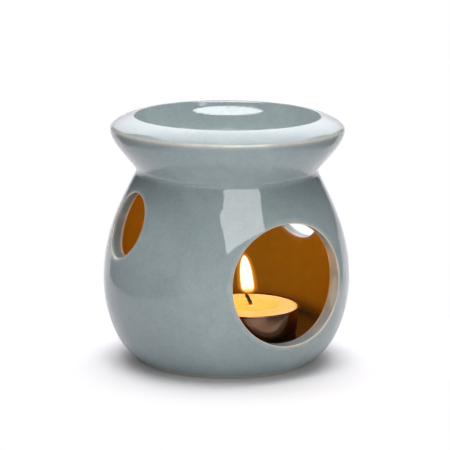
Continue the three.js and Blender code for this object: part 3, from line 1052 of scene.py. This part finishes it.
def make_wick(paint):
    share = np.linspace(0.0, 1.0, WICK_STEPS)
    middle = wick_route(share)
    along = unit(np.gradient(middle, axis=0))
    first = unit(np.cross(along, (0.0, 1.0, 0.0)))
    second = np.cross(along, first)

    def around_wick(angle):
        """The way out from the wick's middle, with an angle for every step along it."""
        return np.cos(angle)[..., None] * first + np.sin(angle)[..., None] * second

    taper = np.minimum(1.0, WICK_TIP_SHARE + WICK_TIP_SLOPE * (1.0 - share))
    ends = np.sqrt(np.clip(np.minimum(share, 1 - share) * WICK_END_SLOPE, WICK_END_SHARE, 1.0))
    angle = np.linspace(0.0, FULL_TURN, WICK_SIDES + 1)
    out = np.swapaxes(around_wick(angle[:, None] + 0 * share), 0, 1)
    shell = Shell()
    for strand in range(WICK_STRANDS):
        twist = FULL_TURN * (strand / WICK_STRANDS + WICK_TWISTS * share)
        core = middle + taper[:, None] * STRAND_OFFSET * around_wick(twist)
        fuzz = 1 + wave(share, STRAND_FUZZ, STRAND_FUZZ_WAVES, strand)
        radius = STRAND_RADIUS * taper * ends * fuzz
        shell.grid(core[:, None] + radius[:, None, None] * out, out)
        for end, way in ((0, -1.0), (-1, 1.0)):
            cap = core[end] + radius[end] * out[end]
            shell.add(cap[:-1], way * along[end] + 0 * cap[:-1], [list(range(WICK_SIDES))])
    shell.shift(TEALIGHT_PLACE)
    shell.build("tealight_wick_body", "tealight", "wick_cotton", paint, "tealight_wick")


# Light of the flame: colour at its foot, colour above, strength, and cover at the foot and above
CORE_LIGHT = ((0.3, 0.14, 0.016, 1.0), (1.0, 0.88, 0.58, 1.0), 4.6, (0.25, 1.0))
VEIL_LIGHT = ((1.0, 0.3, 0.02, 1.0), (1.0, 0.36, 0.02, 1.0), 1.0, (0.1, 0.55))
HALO_LIGHT = ((1.0, 0.28, 0.02, 1.0), (1.0, 0.34, 0.03, 1.0), 1.0, (0.0, 0.16))
FLICKER_SCALE = 300.0
FLICKER_SHARE = 0.06
FLAME_TONE_RANGE = (0.06, 0.3)
FLAME_COVER_RANGE = (0.0, 0.16)


def flame_paint(name, base, body, strength, cover):
    paint = Paint(name)
    where = paint.where()
    share = paint.spread(paint.level(where), FLAME_FOOT[2] * MM, FLAME_TOP[2] * MM)
    flicker = paint.times(paint.noise(where, FLICKER_SCALE, SMOOTH), FLICKER_SHARE)
    body_share = paint.spread(paint.plus(share, flicker), *FLAME_TONE_RANGE, smooth=True)
    glow = paint.node("Emission", {"Color": paint.mix(body_share, base, body), "Strength": strength})
    solid = paint.spread(share, *FLAME_COVER_RANGE, *cover, smooth=True)
    return paint.finish(paint.either(solid, paint.node("BsdfTransparent"), glow))


def make_flame(name, paint, grow):
    share = np.linspace(0.0, 1.0, FLAME_STEPS)
    width = (1.0 - share**FLAME_POINT) ** FLAME_FULLNESS * (1.0 - np.exp(-share / FLAME_ROOT))
    radius = np.maximum((0.5 * FLAME_WIDTH + grow) * width, FLAME_TIP_RADIUS)
    rise = FLAME_TOP - FLAME_FOOT
    length = np.linalg.norm(rise)
    middle = FLAME_FOOT + (share[:, None] * (length + 2 * grow) - grow) * rise / length
    angle = np.linspace(0.0, FULL_TURN, FLAME_SIDES + 1)
    out = np.stack([np.cos(angle), np.sin(angle), 0 * angle], -1)
    points = middle[:, None] + radius[:, None, None] * out[None]
    normals = np.broadcast_to(out[None], points.shape).copy()
    normals[..., 2] = -np.gradient(radius, middle[:, 2])[:, None]
    shell = Shell()
    shell.grid(points, normals)
    made = shell.build(name, "tealight", None, paint)
    made.visible_shadow = False
    made.visible_diffuse = False


glaze = glaze_paint()
make_pot(glaze)
make_dish(glaze)
make_cup(aluminium_paint())
make_wax(wax_paint())
make_wick(wick_paint())
sustainer_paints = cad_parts["wick_sustainer"].data.materials
sustainer_paints.clear()
sustainer_paints.append(tinplate_paint())
make_flame("flame_core", flame_paint("flame_light", *CORE_LIGHT), 0.0)
make_flame("flame_mantle", flame_paint("flame_veil", *VEIL_LIGHT), VEIL)
make_flame("flame_halo", flame_paint("flame_halo", *HALO_LIGHT), HALO)

# Camera at the photograph's place, with lengths in millimetres

VIEW_TURN = math.radians(-33.6)
VIEW_REACH = 868.4
VIEW_HEIGHT = 238.4
VIEW_PITCH = math.radians(12.056)
VIEW_ASIDE = -0.7
VIEW_ROLL = math.radians(0.4)
FOCUS_PIXELS = 2260.0
IMAGE_PIXELS = 450.0
SENSOR_WIDTH = 36.0
CLIP_START = 0.01

right = Vector((math.cos(VIEW_TURN), math.sin(VIEW_TURN), 0.0))
ahead = Vector((-math.sin(VIEW_TURN), math.cos(VIEW_TURN), 0.0))


def looking(eye, target):
    turn = (target - eye).to_track_quat("-Z", "Y").to_matrix().to_4x4()
    return Matrix.Translation(eye) @ turn


def make_camera():
    eye = (-VIEW_REACH * ahead + VIEW_HEIGHT * UP) * MM
    drop = VIEW_REACH * math.tan(VIEW_PITCH)
    target = (VIEW_ASIDE * right + (VIEW_HEIGHT - drop) * UP) * MM
    data = bpy.data.cameras.new("camera")
    data.sensor_width = SENSOR_WIDTH
    data.lens = SENSOR_WIDTH * FOCUS_PIXELS / IMAGE_PIXELS
    data.clip_start = CLIP_START
    camera = added("camera", data)
    camera.matrix_world = looking(eye, target) @ Matrix.Rotation(VIEW_ROLL, 4, "Z")
    bpy.context.scene.camera = camera


# Lamps: turn to the right of the camera, rise in degrees, reach, width and height in metres, power in watts
SOFTBOX = (19.5, 36.0, 1.0, 0.71, 0.42, 5.9)
SOFTBOX_ROLL = math.radians(10.0)
FILL = (12.0, 12.0, 1.9, 2.2, 1.2, 15.5)
OVERHEAD = (0.0, 84.0, 1.2, 1.0, 1.0, 9.5)
LAMPS_AIM = Vector((0.0, 0.0, 0.05))
FLAME_POWER = 0.016
FLAME_COLOUR = (1.0, 0.34, 0.025)
FLAME_LAMP_RADIUS = 0.0022
FLAME_LAMP_SHARE = 0.88


def lamp(name, turn, rise, reach, width, height, power):
    data = bpy.data.lights.new(name, "AREA")
    data.shape = "RECTANGLE"
    data.size = width
    data.size_y = height
    data.energy = power
    made = added(name, data)
    turn = math.radians(turn)
    rise = math.radians(rise)
    flat = -math.cos(turn) * ahead + math.sin(turn) * right
    away = reach * (math.cos(rise) * flat + math.sin(rise) * UP)
    made.matrix_world = looking(LAMPS_AIM + away, LAMPS_AIM)
    made.visible_camera = False
    return made


def make_lamps():
    """A softbox that only reflections see, and two lamps that no reflection sees."""
    softbox = lamp("front_softbox", *SOFTBOX)
    softbox.matrix_world = softbox.matrix_world @ Matrix.Rotation(SOFTBOX_ROLL, 4, "Z")
    softbox.visible_diffuse = False
    lamp("fill", *FILL).visible_glossy = False
    lamp("overhead", *OVERHEAD).visible_glossy = False


def make_flame_lamp():
    data = bpy.data.lights.new("flame_lamp", "POINT")
    data.energy = FLAME_POWER
    data.color = FLAME_COLOUR
    data.shadow_soft_size = FLAME_LAMP_RADIUS
    flame_lamp = added("flame_lamp", data)
    flame_lamp.location = Vector((FLAME_FOOT + (FLAME_TOP - FLAME_FOOT) * FLAME_LAMP_SHARE) * MM)
    flame_lamp.visible_camera = False
    flame_lamp.visible_glossy = False
    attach(flame_lamp, "tealight")


# Studio, in metres, with each range followed by what it becomes where that isn't 0 to 1
WHITE = grey(1.0)
STUDIO_TINT = (1.0, 0.955, 1.0, 1.0)
VAULT_HALF_WIDTH = (0.15, 0.5, 0.36, 0.64)
VAULT_SIDE_EDGE = (-0.01, 0.02)
VAULT_NEAR_SLANT = 0.5
VAULT_NEAR_EDGE = (-0.24, -0.21)
VAULT_LEVEL = (0.1, 0.6, 0.75, 2.9)
VAULT_SIDE_LEVEL = (0.0, 0.5, 1.0, 1.1)
FRONT_EDGE = (0.1, -0.4)
FRONT_LEVEL = (0.02, 0.5, 0.9, 0.0)
ROOM_LEVEL = 0.05
FLOOR_REACH = 6.0
PAPER_SCALE = 500.0
PAPER_DEEP = (0.8, 0.8, 0.805, 1.0)
PAPER_PALE = (0.82, 0.82, 0.825, 1.0)
PAPER_BOUNCE = (0.64, 0.64, 0.65, 1.0)
SHADOW_BACK = 0.02
SHADOW_FADE = (0.05, 0.11)
CARD_BASE = Vector((0.0, 0.0, 0.09))
CARD_HEIGHT = 1.0
CARD_HALF_WIDTH = 0.815
CARD_POINTS = 33
CARD_ENDS = 0.487
CARD_SIDES = ((0.337, 0.75), (0.138, 1.4))
CARD_TINT = (0.97, 0.98, 1.0, 1.0)
CARD_LEVEL = 15.0
FLAG_ASIDE = 0.16
FLAG_NEAR = 0.2
FLAG_FAR = 0.12
FLAG_LEFT_TALL = 0.3
FLAG_RIGHT_TALL = 0.24
FLAG_SCALE = 300.0
FLAG_DEEP = grey(0.012)
FLAG_PALE = grey(0.02)
# Painted light on the flag's foot, fading out upwards
FLAG_PAINTED_LIGHT_FOOT = grey(0.28)
FLAG_FADE = (0.0, 0.16)


def make_world():
    """A dark studio with a bright vault from behind the object to overhead."""
    world = bpy.data.worlds.new("studio")
    bpy.context.scene.world = world
    paint = Paint(world)
    way = paint.node("TexCoord").outputs["Generated"]
    rise = paint.level(way)
    back = paint.vector("DOT_PRODUCT", way, tuple(ahead))
    off = paint.reckon("ABSOLUTE", paint.vector("DOT_PRODUCT", way, tuple(right)), 0.0)
    room = paint.minus(paint.spread(rise, *VAULT_HALF_WIDTH), off)
    near = paint.spread(paint.minus(back, paint.times(off, VAULT_NEAR_SLANT)), *VAULT_NEAR_EDGE)
    vault = paint.times(paint.spread(room, *VAULT_SIDE_EDGE), near)
    bright = paint.times(paint.spread(rise, *VAULT_LEVEL), paint.spread(off, *VAULT_SIDE_LEVEL))
    front = paint.times(paint.spread(back, *FRONT_EDGE), paint.spread(rise, *FRONT_LEVEL, smooth=True))
    level = paint.plus(paint.times(vault, bright), paint.plus(front, ROOM_LEVEL))
    studio = paint.node("Background", {"Color": STUDIO_TINT, "Strength": level})
    white = paint.node("Background", {"Color": WHITE, "Strength": 1.0})
    seen = paint.node("LightPath").outputs["Is Camera Ray"]
    paint.finish(paint.either(seen, studio, white), "OutputWorld")


def stage_sheet(name, points, faces, paint):
    mesh = bpy.data.meshes.new(name)
    mesh.from_pydata([tuple(point) for point in points], [], faces)
    mesh.materials.append(paint)
    made = added(name, mesh)
    return made


def only_reflected(made):
    made.visible_camera = False
    made.visible_shadow = False


def make_floor():
    """White paper that keeps the shadow near the object and is plain white further off."""
    paint = Paint("floor_paper")
    where = paint.where()
    seen = paint.node("LightPath").outputs["Is Camera Ray"]
    pale = paint.mix(paint.noise(where, PAPER_SCALE), PAPER_DEEP, PAPER_PALE)
    paper = paint.node("BsdfDiffuse", {"Color": paint.mix(seen, PAPER_BOUNCE, pale)})
    white = paint.node("Emission", {"Color": WHITE, "Strength": 1.0})
    away = paint.vector("DISTANCE", where, tuple(SHADOW_BACK * ahead))
    far = paint.times(seen, paint.spread(away, *SHADOW_FADE, smooth=True))
    corners = [(-1, -1), (1, -1), (1, 1), (-1, 1)]
    points = [(FLOOR_REACH * x, FLOOR_REACH * y, 0.0) for x, y in corners]
    stage_sheet("floor", points, [(0, 1, 2, 3)], paint.finish(paint.either(far, paper, white)))


def make_card():
    """A curved bright card high over the camera, seen as the pale lens in the bowl."""
    across = np.linspace(-1.0, 1.0, CARD_POINTS)
    points = []
    for swell, power in CARD_SIDES:
        nearer = CARD_ENDS + swell * (1.0 - across**2) ** power
        for aside, near in zip(across.tolist(), nearer.tolist()):
            points.append(CARD_BASE + CARD_HALF_WIDTH * aside * right - near * ahead + CARD_HEIGHT * UP)
    steps = range(CARD_POINTS - 1)
    faces = [(step, step + 1, CARD_POINTS + step + 1, CARD_POINTS + step) for step in steps]
    paint = Paint("bright_card")
    glow = paint.node("Emission", {"Color": CARD_TINT, "Strength": CARD_LEVEL})
    made = stage_sheet("card", points, faces, paint.finish(glow))
    only_reflected(made)
    made.visible_diffuse = False


def make_flag(side, tall):
    """A black card beside the object, out of the picture, that darkens the glaze's sides, with painted
    light towards its foot.
    """
    edge = side * FLAG_ASIDE * right
    corners = [edge - FLAG_NEAR * ahead, edge + FLAG_FAR * ahead]
    points = corners + [point + tall * UP for point in reversed(corners)]
    paint = Paint("black_card")
    where = paint.where()
    black = paint.mix(paint.noise(where, FLAG_SCALE), FLAG_DEEP, FLAG_PALE)
    risen = paint.spread(paint.level(where), *FLAG_FADE, smooth=True)
    cloth = paint.node("BsdfDiffuse", {"Color": paint.mix(risen, FLAG_PAINTED_LIGHT_FOOT, black)})
    only_reflected(stage_sheet("flag", points, [(0, 1, 2, 3)], paint.finish(cloth)))


make_camera()
make_lamps()
make_flame_lamp()
make_world()
make_floor()
make_flag(-1.0, FLAG_LEFT_TALL)
make_flag(1.0, FLAG_RIGHT_TALL)
make_card()
bpy.context.scene.view_settings.view_transform = "Standard"
